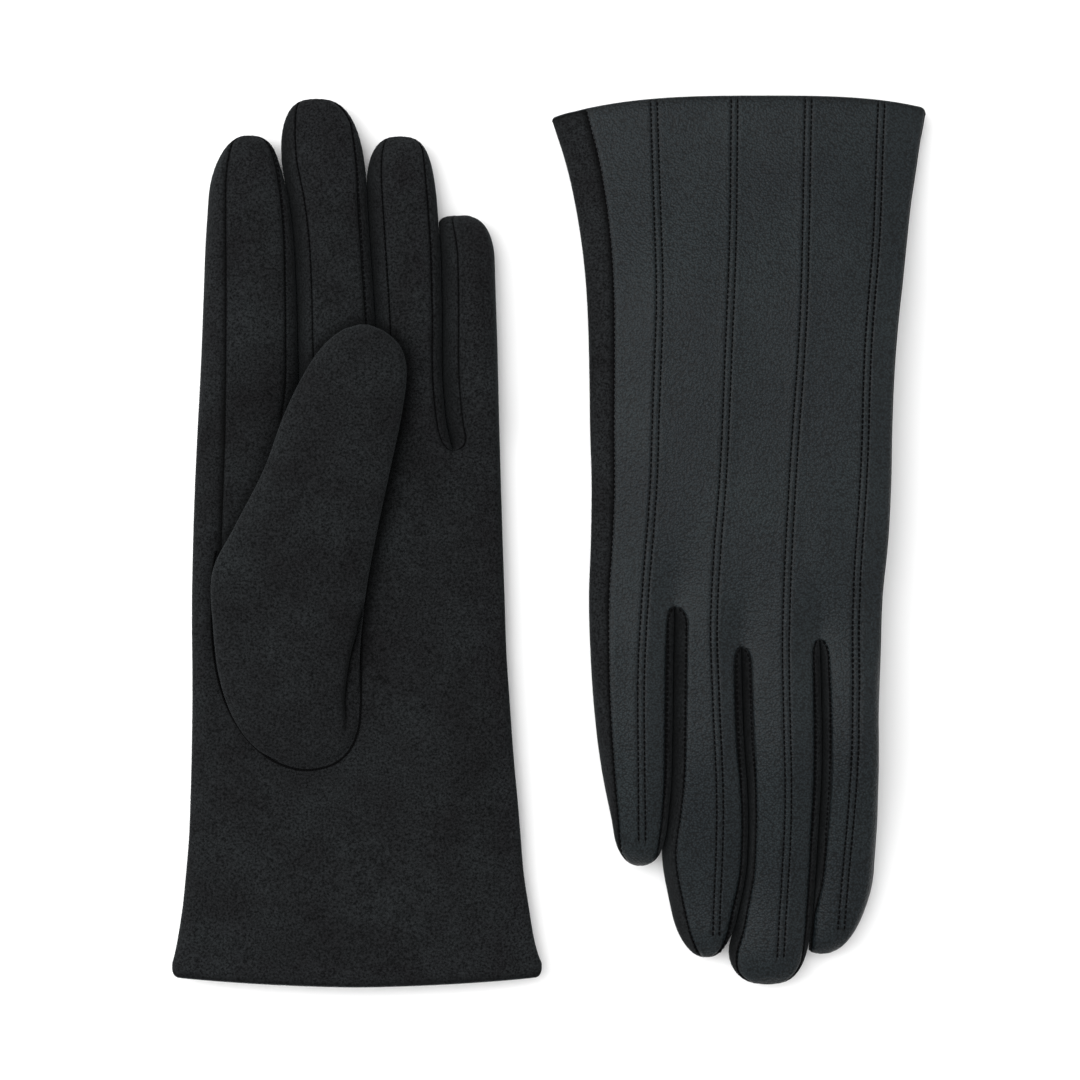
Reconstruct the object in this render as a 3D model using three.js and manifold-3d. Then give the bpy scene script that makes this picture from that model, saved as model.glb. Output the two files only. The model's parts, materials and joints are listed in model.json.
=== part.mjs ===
// Pair of dress gloves lying flat: the left glove palm up, the right glove back up.
// Millimetres, +Z up, +Y along the left glove's fingers, origin on the surface below the pair's middle.
import * as THREE from 'three';
import { mergeVertices } from 'three/addons/utils/BufferGeometryUtils.js';
import Module from 'manifold-3d';

const wasm = await Module();
wasm.setup();

// Driving dimensions. A glove's own frame has x across, y from the cuff to the fingertips, and z from
// the back of the hand to the palm. The index finger is at negative x.
const GLOVE_LENGTH = 240;
const GLOVE_OFFSET = 51.8;          // from the pair's middle to each glove's middle line
// How far each glove's cuff edge is set back at its index and little-finger corners, and how suddenly.
const CUFF_BOW = {
  left: { corners: [2.4, 2.4], power: 1.6 },
  right: { corners: [3, 5.6], power: 3 },
};
const HAND_THICK = 11;
const FINGER_THICK = 11;
const SKIN = 1.2;                   // leather and suede
const LINING = 0.6;
const HEM_WIDTH = 18;
const HEM_THICK = 0.8;
const GAP = 0.3;                    // left between pieces that touch
const SQUARENESS = 3.2;             // of every section: 2 is an ellipse, more is nearer to a rectangle
const CROTCH_Y = 150;               // where the fingers leave the hand
const ROOT_LAP = 6;                 // how far a finger's root reaches into the hand
const FOURCHETTE_HALF = 3;          // half the height of the strips between the fingers
const THUMB_THICK = 9.2;
const THUMB_OVER_PALM = 0.4;
const THUMB_HOLE = { x: -19, y: 86, halfX: 14.5, halfY: 21 };
// The right glove's palm lies on its own thumb, and its cuff and fingertips reach down to the surface.
const DRAPE_DROP = THUMB_THICK + THUMB_OVER_PALM + 0.2;
const TRIM = 0.4;                   // taken off the left glove's underside, which lies flat
const HEM_START = 0.5;              // from the cuff edge to the turned-in hem
const LINING_LAP = 7;               // gap along the hand between the hem's end and the lining's start
const KNUCKLE_LAP = 2;              // how far hollows are carried past a knuckle, to leave it open

const MIDDLE_Z = HAND_THICK / 2;
const HAND_SIDES = 20;              // flats around each section
const FINGER_SIDES = 12;
const THUMB_SIDES = 14;
const THUMB_ROWS = 9;
const HOLE_SIDES = 16;
const FAR = 200;                    // past the glove on every side
const FAR_BACK = -20;
const FAR_FRONT = 260;

// Share of the right glove's drape at each distance from the cuff.
const DRAPE_SHARE = [
  [0, 1],
  [17, 0.82],
  [42, 0.2],
  [72, 0],
  [107, 0],
  [150, 0],
];

// Outline of each hand, as [distance from the cuff, index side, little-finger side].
const HAND_OUTLINE = {
  left: [
    [0, -50, 50],
    [17, -47.9, 47],
    [42, -45.4, 44.1],
    [72, -44.6, 41.4],
    [107, -44.6, 40],
    [150, -43.4, 38.8],
  ],
  right: [
    [0, -50, 50],
    [17, -48.1, 47.4],
    [42, -45, 42.5],
    [72, -42.2, 40.7],
    [107, -41.1, 40.3],
    [150, -38.4, 40.2],
  ],
};

// Each finger: where its middle knuckle is, its sides at the crotch, at that knuckle and where the tip
// starts to round, its tip, and how long the rounded tip is.
const finger = (name, kneeY, root, knee, end, tip, round) => ({ name, kneeY, root, knee, end, tip, round });
const FINGERS = {
  left: [
    finger('index', 186, [-43.4, -16.7], [-41.9, -17.0], [-39.6, -20.0], [-29.6, 229.4], 15),
    finger('middle', 186, [-16.0, 4.9], [-16.3, 3.9], [-20.2, 1.6], [-10.0, 240], 14),
    finger('ring', 184, [5.6, 22.4], [4.6, 22.3], [2.6, 21.4], [11.8, 229.2], 14),
    finger('little', 174, [23.1, 38.8], [23.0, 37.9], [22.4, 35.8], [28.6, 208.2], 11),
  ],
  right: [
    finger('index', 186, [-38.4, -20.8], [-37.6, -21.4], [-35.6, -20.0], [-24.5, 231], 15),
    finger('middle', 186, [-20.1, 0.1], [-20.7, -1.2], [-19.0, 1.0], [-8.0, 240], 14),
    finger('ring', 184, [0.8, 18.3], [-0.5, 18.6], [1.7, 17.8], [9.4, 232.7], 14),
    finger('little', 174, [19.0, 40.2], [19.3, 38.4], [20.6, 34.4], [27.3, 207.4], 11),
  ],
};

// Middle line of the thumb and its half width along it, from the base to the tip.
const THUMB_LINE = [
  [-19.0, 60],
  [-19.2, 92],
  [-16.0, 120],
  [-6.5, 148],
  [7.0, 175],
];
const THUMB_HALF = [14.5, 19.5, 18, 12.5, 10];
const THUMB_ROUND = { base: 0.2, tip: 0.16 };             // shares of its length that are rounded off
const THUMB_END = { width: 0.25, height: 0.45 };          // smallest section, as shares of the full one
const THUMB_INSET = { shell: 0.012, lining: 0.015, hollow: 0.022 };

// A fingertip's rows, as shares of its rounded length, and its smallest section as shares of the full one.
const TIP_ROWS = [0, 0.5, 0.8, 1];
const TIP_END = { width: 0.2, height: 0.35 };
const TIP_HEIGHT_POWER = 0.7;       // a tip narrows sooner than it thins

const LEATHER = { color: 0x303435, roughness: 0.45 };
const SUEDE = { color: 0x212224, roughness: 0.95 };
const LINING_CLOTH = { color: 0x18191a, roughness: 1 };

const clamp01 = (t) => Math.min(1, Math.max(0, t));
const mix = (a, b, t) => a + (b - a) * t;

// Value at y of a table whose rows start with y.
function lookUp(table, y, column) {
  let i = 0;
  while (i < table.length - 2 && y > table[i + 1][0]) i += 1;
  const [low, high] = [table[i], table[i + 1]];
  return mix(low[column], high[column], (y - low[0]) / (high[0] - low[0]));
}

// How far the glove's thickness is shifted toward the palm at y. The right glove drapes over its thumb
// to the surface at its cuff, and each finger slopes down to it at its tip.
function drape(side, y, digit) {
  if (side === 'left') return 0;
  if (digit) return DRAPE_DROP * ((y - digit.kneeY) / (digit.tip[1] - digit.kneeY));
  return DRAPE_DROP * lookUp(DRAPE_SHARE, y, 1);
}

// Rows of a tube from one y to another, with one at each bend of the hand's outline between them.
function rowsBetween(from, to) {
  const bends = DRAPE_SHARE.map((row) => row[0]).filter((y) => y > from + 1 && y < to - 1);
  return [from, ...bends, to];
}

function toSolid(geometry) {
  geometry.deleteAttribute('normal');
  geometry.deleteAttribute('uv');
  const merged = mergeVertices(geometry, 1e-4);
  return new wasm.Manifold(
    new wasm.Mesh({
      numProp: 3,
      vertProperties: new Float32Array(merged.attributes.position.array),
      triVerts: new Uint32Array(merged.index.array),
    }),
  );
}

function mapVertices(geometry, place) {
  const position = geometry.attributes.position;
  const point = new THREE.Vector3();
  for (let i = 0; i < position.count; i += 1) {
    point.fromBufferAttribute(position, i);
    place(point);
    position.setXYZ(i, point.x, point.y, point.z);
  }
  return toSolid(geometry);
}

// A point of a unit circle pushed out to a superellipse, so that a tube's walls are flatter than round.
function squareOff(c, s, power) {
  const out = (v) => Math.sign(v) * Math.abs(v) ** (2 / power);
  return [out(c), out(s)];
}

// A closed tube whose section at each row's y is a superellipse. section(y) gives its sides and heights.
function tube(section, rows, around) {
  const geometry = new THREE.CylinderGeometry(1, 1, 1, around, rows.length - 1);
  return mapVertices(geometry, (point) => {
    const y = rows[Math.round((point.y + 0.5) * (rows.length - 1))];
    const part = section(y);
    const radius = Math.hypot(point.x, point.z);
    const [c, s] = radius > 0.5 ? squareOff(point.x, point.z, SQUARENESS) : [0, 0];
    const setBack = part.setBack ? part.setBack(c) : 0;
    point.set(part.x + part.half * c, y + setBack, part.z + part.high * s);
  });
}

// A straight-sided block that follows a glove's drape, used to part a shell into its panels.
function slab(side, x, z, digit) {
  const rows = digit ? [FAR_BACK, FAR_FRONT] : rowsBetween(FAR_BACK, FAR_FRONT);
  const geometry = new THREE.BoxGeometry(1, 1, 1, 1, rows.length - 1, 1);
  return mapVertices(geometry, (point) => {
    const y = rows[Math.round((point.y + 0.5) * (rows.length - 1))];
    const up = mix(z[0], z[1], point.z + 0.5);
    point.set(mix(x[0], x[1], point.x + 0.5), y, up + drape(side, y, digit));
  });
}

const below = (side, digit) => slab(side, [-FAR, FAR], [-FAR, MIDDLE_Z - FOURCHETTE_HALF], digit);
const above = (side, digit) => slab(side, [-FAR, FAR], [MIDDLE_Z + FOURCHETTE_HALF, FAR], digit);
const between = (side, from, to, digit) => slab(side, [from, to], [
  MIDDLE_Z - FOURCHETTE_HALF + GAP,
  MIDDLE_Z + FOURCHETTE_HALF - GAP,
], digit);

// Set-back of the cuff edge at share c across the hand, fading out by the crotch.
function cuffSetBack(side, y, c) {
  const { corners, power } = CUFF_BOW[side];
  const corner = c < 0 ? corners[0] : corners[1];
  return corner * Math.abs(c) ** power * (1 - y / CROTCH_Y);
}

// The palm of the hand, inset by a wall thickness, from one distance from the cuff to another.
function handTube(side, inset, from, to) {
  return tube((y) => {
    const left = lookUp(HAND_OUTLINE[side], y, 1) + inset;
    const right = lookUp(HAND_OUTLINE[side], y, 2) - inset;
    return {
      x: (left + right) / 2,
      half: (right - left) / 2,
      setBack: (c) => cuffSetBack(side, y, c),
      z: MIDDLE_Z + drape(side, y),
      high: HAND_THICK / 2 - inset,
    };
  }, rowsBetween(from, to), HAND_SIDES);
}

// The finger between the crotch and the middle knuckle.
function rootTube(side, digit, inset, from, to) {
  return tube((y) => {
    const reach = clamp01((y - CROTCH_Y) / (digit.kneeY - CROTCH_Y));
    const left = mix(digit.root[0], digit.knee[0], reach) + inset;
    const right = mix(digit.root[1], digit.knee[1], reach) - inset;
    return {
      x: (left + right) / 2,
      half: (right - left) / 2,
      z: MIDDLE_Z + drape(side, y),
      high: FINGER_THICK / 2 - inset,
    };
  }, [from, to], FINGER_SIDES);
}

// The finger from the middle knuckle to its rounded tip.
function fingerTube(side, digit, inset, from) {
  const tipY = digit.tip[1] - inset;
  const endY = digit.tip[1] - digit.round;
  const rounding = TIP_ROWS.map((share) => mix(endY, tipY, share));
  return tube((y) => {
    const reach = (y - digit.kneeY) / (endY - digit.kneeY);
    const round = clamp01((y - endY) / (tipY - endY));
    const shrink = Math.max(TIP_END.width, Math.sqrt(1 - round ** 2));
    const left = mix(digit.knee[0], digit.end[0], Math.min(1, reach)) + inset;
    const right = mix(digit.knee[1], digit.end[1], Math.min(1, reach)) - inset;
    return {
      x: mix((left + right) / 2, digit.tip[0], round),
      half: ((right - left) / 2) * shrink,
      z: MIDDLE_Z + drape(side, y, digit),
      high: (FINGER_THICK / 2 - inset) * Math.max(TIP_END.height, shrink ** TIP_HEIGHT_POWER),
    };
  }, [from, ...rounding], FINGER_SIDES);
}

// The thumb lies over the palm. Its sections stand square to its middle line.
function thumbTube(side, inset, grow) {
  const points = THUMB_LINE.map(([x, y]) => new THREE.Vector3(x, y, 0));
  const line = new THREE.CatmullRomCurve3(points);
  const widths = THUMB_HALF.map((half, i) => [i / (THUMB_HALF.length - 1), half]);
  const geometry = new THREE.CylinderGeometry(1, 1, 1, THUMB_SIDES, THUMB_ROWS);
  const middle = HAND_THICK + THUMB_OVER_PALM + THUMB_THICK / 2;
  return mapVertices(geometry, (point) => {
    const t = 0.5 - Math.cos((point.y + 0.5) * Math.PI) / 2;
    const along = mix(grow, 1 - grow, t);
    const centre = line.getPoint(along);
    const heading = line.getTangent(along);
    const ends = Math.max(clamp01(1 - t / THUMB_ROUND.base), clamp01(1 - (1 - t) / THUMB_ROUND.tip));
    const shrink = Math.max(THUMB_END.width, Math.sqrt(1 - ends ** 2));
    const half = (lookUp(widths, t, 1) - inset) * shrink;
    const high = (THUMB_THICK / 2 - inset) * Math.max(THUMB_END.height, shrink);
    const radius = Math.hypot(point.x, point.z);
    const [c, s] = radius > 0.5 ? squareOff(point.x, point.z, SQUARENESS) : [0, 0];
    const y = centre.y - heading.x * half * c;
    point.set(centre.x + heading.y * half * c, y, middle + high * s);
  });
}

// An upright oval plug that opens the palm and the thumb's base to each other.
function thumbHole(shrink, z) {
  const geometry = new THREE.CylinderGeometry(1, 1, 1, HOLE_SIDES, 1);
  geometry.rotateX(Math.PI / 2);
  return mapVertices(geometry, (point) => {
    point.x = THUMB_HOLE.x + point.x * (THUMB_HOLE.halfX - shrink);
    point.y = THUMB_HOLE.y + point.y * (THUMB_HOLE.halfY - shrink);
    point.z = mix(z[0], z[1], point.z + 0.5);
  });
}

const HOLE_MARGIN = 1;              // the lining's hole is cut this much wider than the palm's
const HOLE_Z = [MIDDLE_Z, HAND_THICK + THUMB_OVER_PALM + THUMB_THICK / 2];

// The hand with its four finger roots as one hollow shell.
function handShell(side, inset, thick, from) {
  let outer = handTube(side, inset, from, CROTCH_Y - inset);
  let inner = handTube(side, inset + thick, from - ROOT_LAP, CROTCH_Y - inset - thick);
  for (const digit of FINGERS[side]) {
    const start = CROTCH_Y - ROOT_LAP + inset;
    outer = outer.add(rootTube(side, digit, inset, start, digit.kneeY - GAP / 2));
    inner = inner.add(rootTube(side, digit, inset + thick, start + thick, digit.kneeY + KNUCKLE_LAP));
  }
  return outer.subtract(inner);
}

// Trims the underside of the left glove, which lies flat.
function trimFlat(side, solid) {
  if (side === 'right') return solid;
  return solid.subtract(slab(side, [-FAR, FAR], [-FAR, TRIM]));
}

const pair = new THREE.Group();

function addMesh(group, name, solid, finish) {
  const mesh = solid.getMesh();
  const geometry = new THREE.BufferGeometry();
  geometry.setAttribute('position', new THREE.BufferAttribute(mesh.vertProperties, 3));
  geometry.setIndex(new THREE.BufferAttribute(mesh.triVerts, 1));
  if (group.userData.reflected) {
    geometry.scale(-1, -1, -1);
    const index = geometry.index;
    for (let i = 0; i < index.count; i += 3) {
      const second = index.getX(i + 1);
      index.setX(i + 1, index.getX(i + 2));
      index.setX(i + 2, second);
    }
  }
  const piece = new THREE.Mesh(geometry, new THREE.MeshStandardMaterial(finish));
  piece.name = name;
  group.add(piece);
}

function addHand(group, side) {
  const skin = handShell(side, 0, SKIN, 0);
  const [index, middle, ring, little] = FINGERS[side].map(({ root }) => (root[0] + root[1]) / 2);
  const indexSide = between(side, -FAR, index).add(
    slab(side, [-FAR, index], [0, MIDDLE_Z]),
  );
  const littleSide = between(side, little, FAR).add(
    slab(side, [little, FAR], [MIDDLE_Z, HAND_THICK]),
  );
  const back = skin.intersect(below(side).add(indexSide));
  const palm = skin.intersect(above(side).add(littleSide)).subtract(thumbHole(0, HOLE_Z));
  addMesh(group, `${side}_back_panel`, trimFlat(side, back), LEATHER);
  addMesh(group, `${side}_palm_panel`, palm, SUEDE);
  const forks = [
    ['index_middle', index, middle],
    ['middle_ring', middle, ring],
    ['ring_little', ring, little],
  ];
  for (const [name, from, to] of forks) {
    const fork = skin.intersect(between(side, from, to));
    addMesh(group, `${side}_fourchette_${name}`, fork, SUEDE);
  }
  const hem = handTube(side, SKIN + GAP, HEM_START, HEM_WIDTH).subtract(
    handTube(side, SKIN + GAP + HEM_THICK, -HEM_WIDTH, 2 * HEM_WIDTH),
  );
  addMesh(group, `${side}_cuff_hem`, hem, LEATHER);
  const shell = handShell(side, SKIN + GAP, LINING, HEM_WIDTH + LINING_LAP);
  const cloth = shell.subtract(thumbHole(-HOLE_MARGIN, HOLE_Z));
  addMesh(group, `${side}_hand_lining`, cloth, LINING_CLOTH);
}

function addFinger(group, side, digit) {
  const start = digit.kneeY + GAP / 2;
  const skin = fingerTube(side, digit, 0, start).subtract(
    fingerTube(side, digit, SKIN, start - KNUCKLE_LAP),
  );
  const centre = (digit.knee[0] + digit.knee[1]) / 2;
  let backCut = below(side, digit);
  let palmCut = above(side, digit);
  if (digit.name === 'index') {
    backCut = backCut
      .add(between(side, -FAR, centre, digit))
      .add(slab(side, [-FAR, centre], [0, MIDDLE_Z], digit));
  }
  if (digit.name === 'little') {
    palmCut = palmCut
      .add(between(side, centre, FAR, digit))
      .add(slab(side, [centre, FAR], [MIDDLE_Z, HAND_THICK], digit));
  }
  addMesh(group, `${side}_${digit.name}_back`, trimFlat(side, skin.intersect(backCut)), LEATHER);
  addMesh(group, `${side}_${digit.name}_palm`, skin.intersect(palmCut), SUEDE);
  if (digit.name !== 'index') {
    const strip = skin.intersect(between(side, -FAR, centre - GAP, digit));
    addMesh(group, `${side}_${digit.name}_fourchette_a`, strip, SUEDE);
  }
  if (digit.name !== 'little') {
    const strip = skin.intersect(between(side, centre + GAP, FAR, digit));
    addMesh(group, `${side}_${digit.name}_fourchette_b`, strip, SUEDE);
  }
  const cloth = fingerTube(side, digit, SKIN + GAP, start + GAP).subtract(
    fingerTube(side, digit, SKIN + GAP + LINING, start - KNUCKLE_LAP),
  );
  addMesh(group, `${side}_${digit.name}_lining`, cloth, LINING_CLOTH);
}

function addThumb(group, side) {
  const shell = thumbTube(side, 0, 0).subtract(thumbTube(side, SKIN, THUMB_INSET.shell));
  addMesh(group, `${side}_thumb_shell`, shell.subtract(thumbHole(0, HOLE_Z)), SUEDE);
  const cloth = thumbTube(side, SKIN + GAP, THUMB_INSET.lining).subtract(
    thumbTube(side, SKIN + GAP + LINING, THUMB_INSET.hollow),
  );
  addMesh(group, `${side}_thumb_lining`, cloth.subtract(thumbHole(0, HOLE_Z)), LINING_CLOTH);
}

function addGlove(side) {
  const group = new THREE.Group();
  group.userData.reflected = side === 'right';
  if (side === 'left') {
    group.position.set(-GLOVE_OFFSET, -GLOVE_LENGTH / 2, -TRIM);
  } else {
    group.position.set(GLOVE_OFFSET, GLOVE_LENGTH / 2, HAND_THICK + DRAPE_DROP);
  }
  addHand(group, side);
  for (const digit of FINGERS[side]) addFinger(group, side, digit);
  addThumb(group, side);
  pair.add(group);
}

addGlove('left');
addGlove('right');

export default pair;
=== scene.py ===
"""Pair of dress gloves laid flat: smooth leather backs, suede palms, thumbs and fourchettes.

Every shape is worked out in a glove's own frame, in millimetres: x across with the index finger at
negative x, y from the cuff to the fingertips, z from the back of the hand to the palm.
"""
import json
import math

import bpy
import numpy as np
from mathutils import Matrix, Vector, noise
from mathutils.bvhtree import BVHTree


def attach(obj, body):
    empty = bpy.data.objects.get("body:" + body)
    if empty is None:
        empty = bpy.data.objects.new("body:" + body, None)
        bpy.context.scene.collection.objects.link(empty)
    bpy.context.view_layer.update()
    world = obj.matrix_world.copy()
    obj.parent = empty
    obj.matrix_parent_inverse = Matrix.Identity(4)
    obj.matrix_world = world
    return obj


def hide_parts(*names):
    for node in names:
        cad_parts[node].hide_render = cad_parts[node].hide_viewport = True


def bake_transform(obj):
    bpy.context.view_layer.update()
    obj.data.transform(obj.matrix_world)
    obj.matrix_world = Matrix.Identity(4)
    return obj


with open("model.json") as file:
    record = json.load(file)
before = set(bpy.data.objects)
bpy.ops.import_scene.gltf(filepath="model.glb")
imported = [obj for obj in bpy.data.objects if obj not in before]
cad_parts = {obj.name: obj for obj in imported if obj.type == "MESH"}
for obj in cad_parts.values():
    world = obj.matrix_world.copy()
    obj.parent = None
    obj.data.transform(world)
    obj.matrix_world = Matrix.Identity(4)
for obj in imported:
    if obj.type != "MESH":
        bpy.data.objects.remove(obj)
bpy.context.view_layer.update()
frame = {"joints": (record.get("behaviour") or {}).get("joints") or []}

MM = 0.001

# ---------------------------------------------------------------- sizes, in millimetres
GLOVE_LENGTH = 240.0
GLOVE_OFFSET = 51.8          # each glove's middle line from the pair's middle
HAND_HALF_HEIGHT = 5.0
FINGER_HALF_HEIGHT = 5.3
MIDDLE_Z = 5.5               # mid-height of the hand
DRAPE_DROP = 9.8             # the right glove's palm is held up this much by its thumb
FLOOR_CLEAR = 0.3            # nothing comes nearer to the floor than this
SLIT_HALF = 0.12             # half the dark gap between two fingers
SLIT_LEAN = 1.5              # how strongly a gap leans, so that one finger laps over the next
FINGER_ROW = 156.0           # where the finger pieces take over from the hand pieces
STITCH_PITCH = 1.45
STITCH_LENGTH = 1.15
THREAD_RADIUS = 0.27
ROW_HALF = 0.88              # each double row's two lines stand this far from its middle
SIDES = ("left", "right")
FINGERS = ("index", "middle", "ring", "little")


def curve(rows):
    """Smooth function through (y, value) rows, straight beyond its ends."""
    y = np.array([row[0] for row in rows], float)
    v = np.array([row[1] for row in rows], float)
    slope = np.gradient(v, y)

    def at(t):
        if t <= y[0]:
            return v[0] + slope[0] * (t - y[0])
        if t >= y[-1]:
            return v[-1] + slope[-1] * (t - y[-1])
        i = int(np.searchsorted(y, t)) - 1
        step = y[i + 1] - y[i]
        s = (t - y[i]) / step
        h00, h10 = 2 * s**3 - 3 * s**2 + 1, s**3 - 2 * s**2 + s
        h01, h11 = -2 * s**3 + 3 * s**2, s**3 - s**2
        return h00 * v[i] + h10 * step * slope[i] + h01 * v[i + 1] + h11 * step * slope[i + 1]

    return at


def clamp(t, low=0.0, high=1.0):
    return max(low, min(high, t))


def smooth(t):
    t = clamp(t)
    return t * t * (3 - 2 * t)


def mix(a, b, t):
    return a + (b - a) * t


# ---------------------------------------------------------------- outlines
OUTER_LOW = {
    "left": curve([(0, -50.3), (3, -50.2), (6, -49.6), (9, -49), (12, -48.5), (18, -47.6), (29, -46.5),
                   (39, -45.7), (50, -45.3), (75, -44.8), (105, -44.9), (120, -44.6), (135, -44.1),
                   (150, -43.4), (165, -42.6), (185, -41.8), (201, -41.2), (212, -40.5), (230, -39.6)]),
    "right": curve([(0, -50.5), (5, -49.8), (8, -49.2), (11, -48.7), (17, -47.8), (28, -46), (39, -44.6),
                    (50, -43.3), (60, -42.1), (75, -40.9), (90, -40.3), (105, -40), (120, -39.2),
                    (135, -37.7), (150, -37.2), (165, -36.7), (185, -36.8), (195, -36.8),
                    (210, -36.2), (231, -35.8)]),
}
OUTER_HIGH = {
    "left": curve([(0, 50), (3, 49.9), (6, 49), (9, 48.2), (12, 47.6), (18, 46.7), (29, 45.1), (39, 44.3),
                   (50, 43.4), (60, 42.5), (75, 41.4), (90, 40.4), (105, 39.9), (120, 39.4),
                   (150, 38.5), (175, 37.9), (190, 37.4), (208, 36.9)]),
    "right": curve([(0, 50.9), (3, 50.1), (6, 49.3), (9.5, 48.3), (16, 46.7), (27, 44.6), (38, 43),
                    (49, 41.9), (60, 41.3), (75, 40.9), (90, 40.7), (105, 40.3), (120, 40.5),
                    (135, 41), (150, 40.6), (165, 39.6), (175, 38.5), (185, 36.9), (195, 34.8), (207, 32.6)]),
}
# The three gaps between the fingers: the crotch first, then the slit up to the fingertips.
GAPS = {
    "left": [
        [(150, -17.6), (161, -16.2), (175, -16.3), (189, -16.7), (203, -17.5), (213, -18.8), (223, -20.6),
         (230, -20.8), (238, -20.8)],
        [(150, 5.4), (179, 4.7), (200, 3.4), (213, 2.6), (222, 2.2)],
        [(144.5, 25.8), (150, 24.4), (160, 23.2), (185, 22.8), (200, 22.4), (207, 21.9), (222, 20.8)],
    ],
    "right": [
        [(146.2, -20.5), (155, -20.8), (172, -21.2), (185, -21.2), (200, -20.6), (215, -19.8), (228, -18.9),
         (236, -18)],
        [(148.3, 0.4), (160, 0.2), (173, -0.3), (186, -1.2), (200, -1.6), (210, -1.2), (220, 0.6), (226, 1.8),
         (231, 3.4), (237, 4.4)],
        [(137.5, 18.3), (155, 18.6), (172, 18.8), (185, 19.1), (195, 20), (204, 20.9), (208, 20.6),
         (216, 19.2), (224, 17.6)],
    ],
}
SLIT = {side: [curve(rows) for rows in GAPS[side]] for side in SIDES}
CROTCH = {side: [rows[0] for rows in GAPS[side]] for side in SIDES}
# Fingertips: x and y of the tip, where the rounding starts, and how square each side of the round is.
TIPS = {
    "left": [(-29.9, 230.1, 212, 2.1, 2.9), (-11, 240.0, 218, 2.9, 2.8), (11.5, 229.8, 212, 2.8, 2.9),
             (28.0, 208.3, 197, 4.2, 2.9)],
    "right": [(-21.6, 231.7, 210, 3.0, 2.4), (-7.5, 240.0, 223.5, 2.8, 2.8), (9, 232.7, 221, 2.6, 2.6),
              (27.2, 207.6, 198, 2.6, 2.4)],
}
# How far each finger's seams stand in from its edges, as (low edge, high edge), on the palm and the back.
# The little finger's back seam starts well in at the cuff and runs out to the edge at the fingertip.
THUMB_SIDE_SEAM = curve([(110, 7.9), (150, 7.8), (175, 6.9), (200, 5.9), (214, 5.0)])
INDEX_INNER_SEAM = curve([(150, 3.2), (175, 2.7), (195, 2.2), (210, 1.5), (222, 0.8)])
LITTLE_SIDE_SEAM = curve([(0, 9.2), (55, 7.1), (125, 5.5), (152, 4.7), (179, 3.4), (196, 1.7), (205, 0.7)])
SEAM_IN = {
    ("left", "palm"): [(THUMB_SIDE_SEAM, INDEX_INNER_SEAM), (4.3, 1.9), (4.1, 2.2), (4.6, 3.0)],
    ("left", "back"): [(3.0, 2.4), (1.5, 2.8), (1.2, 2.6), (1.4, LITTLE_SIDE_SEAM)],
    ("right", "palm"): [(THUMB_SIDE_SEAM, INDEX_INNER_SEAM), (4.3, 1.9), (4.0, 2.0), (4.4, 3.0)],
    ("right", "back"): [(3.0, 2.0), (1.5, 2.2), (1.2, 3.2), (1.3, LITTLE_SIDE_SEAM)],
}
# The four double stitch rows on the back, in the order of the fingers.
POINT_ROWS = [
    curve([(0, -38.2), (37, -36.2), (64, -33.8), (102, -32.3), (131, -30.5), (154, -30.1), (182, -29.7),
           (225, -27.1)]),
    curve([(0, -18.4), (37, -17.1), (64, -15.9), (102, -13.3), (126, -11.9), (145, -11.4), (168, -11.7),
           (192, -12.3), (234, -10.6)]),
    curve([(0, 1.6), (37, 2.4), (64, 3.7), (102, 5.3), (126, 7.1), (140, 7.7), (163, 7.1), (192, 5.9),
           (227, 6.6)]),
    curve([(0, 23.4), (37, 22.5), (50, 22.2), (85, 23.2), (103, 23.7), (131, 25.8), (154, 27.1), (182, 27),
           (202, 26.7)]),
]
POINT_ENDS = [225.0, 233.0, 226.5, 201.0]          # y where each row stops


def gap_line(side, g, y):
    """x of the line between finger g and the next: the slit, or below the crotch its run to the cuff."""
    crotch_y, crotch_x = CROTCH[side][g]
    if y >= crotch_y:
        return SLIT[side][g](y)
    between = (POINT_ROWS[g](y) + POINT_ROWS[g + 1](y)) / 2
    at_crotch = (POINT_ROWS[g](crotch_y) + POINT_ROWS[g + 1](crotch_y)) / 2
    return between + (crotch_x - at_crotch) * (max(y, 0) / crotch_y) ** 2


OPENING_LENGTH = 4.5         # length of a gap's round end
CUFF_DRAPE = (2.0, 62.0)     # the drape at the cuff: where it starts to lift, and over what length
TIP_DRAPE = (168.0, 56.0)    # and at the fingers, where they go down again


def opening(side, g, y):
    """How far a gap has opened at y: 0 at the crotch, 1 beyond its round end."""
    t = clamp((y - CROTCH[side][g][0]) / OPENING_LENGTH)
    return math.sqrt(1 - (1 - t) ** 2)


def drape(side, y):
    """Shift toward the palm: the right glove lies over its own thumb, down to the surface at both ends."""
    if side == "left":
        return 0.0
    cuff = 1 - smooth((y - CUFF_DRAPE[0]) / CUFF_DRAPE[1])
    tips = smooth((y - TIP_DRAPE[0]) / TIP_DRAPE[1])
    return DRAPE_DROP * max(cuff, tips)


SEAM_HOLD = 0.72             # how straight a seam runs on while the fingertip rounds away from it
SEAM_LIMIT = 0.38            # a seam stands in by no more than this share of the finger's width
SEAM_LEAST = 0.1             # and, beyond the crotch, by no less than this share of that limit
TIP_LEAN_POWER = 1.6         # how late a finger's middle line turns toward its tip
TIP_HEIGHT_POWER = 2.6
TIP_LEAST_HEIGHT = 0.22      # share of the full height left at the very tip
THICKENING = (100.0, 50.0)   # where the flat hand starts to thicken into fingers, and over what length
SEAM_CURVE = 2.4             # squareness of the section on which the seams stand
SEAM_LEAST_HEIGHT = 0.62


def inset_at(inset, y):
    return inset(y) if callable(inset) else inset


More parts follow.
